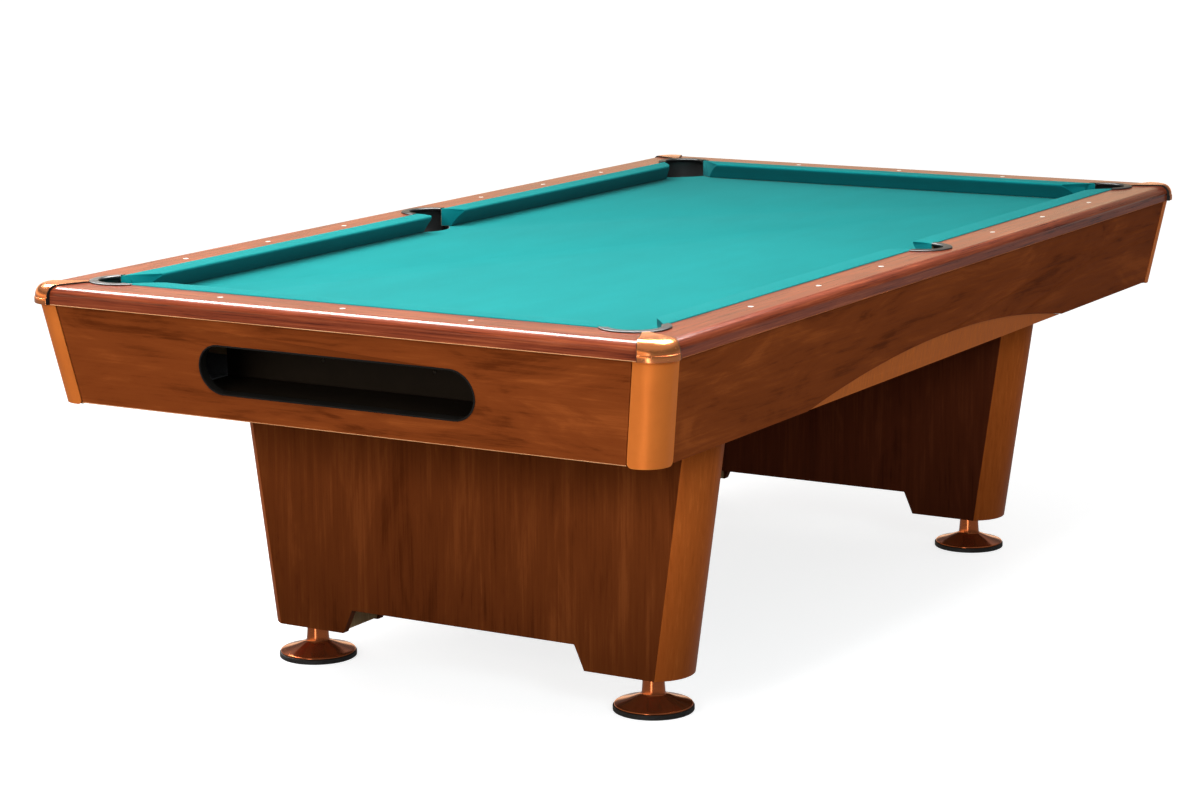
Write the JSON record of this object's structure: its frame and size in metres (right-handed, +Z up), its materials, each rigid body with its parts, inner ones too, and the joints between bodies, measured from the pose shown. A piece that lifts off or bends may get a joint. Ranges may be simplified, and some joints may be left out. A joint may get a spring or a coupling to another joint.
{
  "type": "pool table",
  "caption": "Slate-bed pool table: cloth-covered cushions, corner and side pockets with inner ball return to an end window, on two pedestal legs with screw levelling feet.",
  "frame": {"origin": "on the floor, under the middle of the table", "axes": "+X across the table, +Y along it away from the ball window end, +Z up"},
  "size_m": [1.422, 2.542, 0.826],
  "materials": {
    "rail_wood": "satin cherry laminate",
    "apron_wood": "satin cherry veneer",
    "leg_wood": "satin dark cherry veneer",
    "timber": "plain sawn softwood",
    "bronze_laminate": "moulding wrapped in satin bronze laminate",
    "corner_metal": "polished copper lacquer",
    "post_metal": "satin copper lacquer",
    "foot_metal": "brushed copper finish on steel",
    "pad_rubber": "matt",
    "liner_rubber": "satin",
    "cloth": "worsted cloth",
    "cushion": "rubber cushion under worsted cloth",
    "slate": "ground flat",
    "black_plastic": "matt",
    "grey_plastic": "matt",
    "steel": "zinc plated",
    "sight_pearl": "pearl"
  },
  "bodies": {
    "table": {"rail_cap_front": "rail_wood", "rail_cap_rear": "rail_wood", "rail_cap_left": "rail_wood", "rail_cap_right": "rail_wood", "subrails": "timber", "feather_strips": "timber", "cushion_front": "cushion", "cushion_rear": "cushion", "cushion_left_front": "cushion", "cushion_left_rear": "cushion", "cushion_right_front": "cushion", "cushion_right_rear": "cushion", "corner_casting_front_left": "corner_metal", "corner_casting_front_right": "corner_metal", "corner_casting_rear_left": "corner_metal", "corner_casting_rear_right": "corner_metal", "corner_post_front_left": "post_metal", "corner_post_front_right": "post_metal", "corner_post_rear_left": "post_metal", "corner_post_rear_right": "post_metal", "pocket_liner_front_left": "liner_rubber", "pocket_liner_front_right": "liner_rubber", "pocket_liner_rear_left": "liner_rubber", "pocket_liner_rear_right": "liner_rubber", "pocket_liner_side_left": "liner_rubber", "pocket_liner_side_right": "liner_rubber", "bed_cloth": "cloth", "slate_front": "slate", "slate_middle": "slate", "slate_rear": "slate", "apron_front": "apron_wood", "apron_rear": "apron_wood", "apron_left": "apron_wood", "apron_right": "apron_wood", "arch_panels": "bronze_laminate", "window_trim": "black_plastic", "ball_box": "black_plastic", "ball_gullies": "grey_plastic", "side_beams": "timber", "cross_beams": "timber", "leg_panel_front_outer": "leg_wood", "leg_panel_front_inner": "leg_wood", "leg_panel_rear_inner": "leg_wood", "leg_panel_rear_outer": "leg_wood", "leg_cheeks_front": "bronze_laminate", "leg_cheeks_rear": "bronze_laminate", "leg_core_front": "timber", "leg_core_rear": "timber", "foot_inserts": "steel", "sights": "sight_pearl", "rail_bolts": "steel", "leg_bolts": "steel"},
    "foot_base_front_left": {"pad_front_left": "pad_rubber"},
    "foot_front_left": {"foot_front_left": "foot_metal"},
    "foot_base_front_right": {"pad_front_right": "pad_rubber"},
    "foot_front_right": {"foot_front_right": "foot_metal"},
    "foot_base_rear_left": {"pad_rear_left": "pad_rubber"},
    "foot_rear_left": {"foot_rear_left": "foot_metal"},
    "foot_base_rear_right": {"pad_rear_right": "pad_rubber"},
    "foot_rear_right": {"foot_rear_right": "foot_metal"}
  },
  "joints": [
    {"name": "foot_front_left_slide", "type": "slide", "parent": "table", "child": "foot_base_front_left", "axis": [0, 0, -1], "range_m": [-0.01, 0.02]},
    {"name": "foot_front_left_turn", "type": "hinge", "parent": "foot_base_front_left", "child": "foot_front_left", "pos_m": [-0.399, -0.762, 0.01], "axis": [0, 0, -1], "range_deg": [-1430, 2870]},
    {"name": "foot_front_right_slide", "type": "slide", "parent": "table", "child": "foot_base_front_right", "axis": [0, 0, -1], "range_m": [-0.01, 0.02]},
    {"name": "foot_front_right_turn", "type": "hinge", "parent": "foot_base_front_right", "child": "foot_front_right", "pos_m": [0.399, -0.762, 0.01], "axis": [0, 0, -1], "range_deg": [-1430, 2870]},
    {"name": "foot_rear_left_slide", "type": "slide", "parent": "table", "child": "foot_base_rear_left", "axis": [0, 0, -1], "range_m": [-0.01, 0.02]},
    {"name": "foot_rear_left_turn", "type": "hinge", "parent": "foot_base_rear_left", "child": "foot_rear_left", "pos_m": [-0.399, 0.762, 0.01], "axis": [0, 0, -1], "range_deg": [-1430, 2870]},
    {"name": "foot_rear_right_slide", "type": "slide", "parent": "table", "child": "foot_base_rear_right", "axis": [0, 0, -1], "range_m": [-0.01, 0.02]},
    {"name": "foot_rear_right_turn", "type": "hinge", "parent": "foot_base_rear_right", "child": "foot_rear_right", "pos_m": [0.399, 0.762, 0.01], "axis": [0, 0, -1], "range_deg": [-1430, 2870]}
  ],
  "couplings": [
    {"joint": "foot_front_left_slide", "follows": "foot_front_left_turn", "m_per_rad": 0.00039788},
    {"joint": "foot_front_right_slide", "follows": "foot_front_right_turn", "m_per_rad": 0.00039788},
    {"joint": "foot_rear_left_slide", "follows": "foot_rear_left_turn", "m_per_rad": 0.00039788},
    {"joint": "foot_rear_right_slide", "follows": "foot_rear_right_turn", "m_per_rad": 0.00039788}
  ]
}
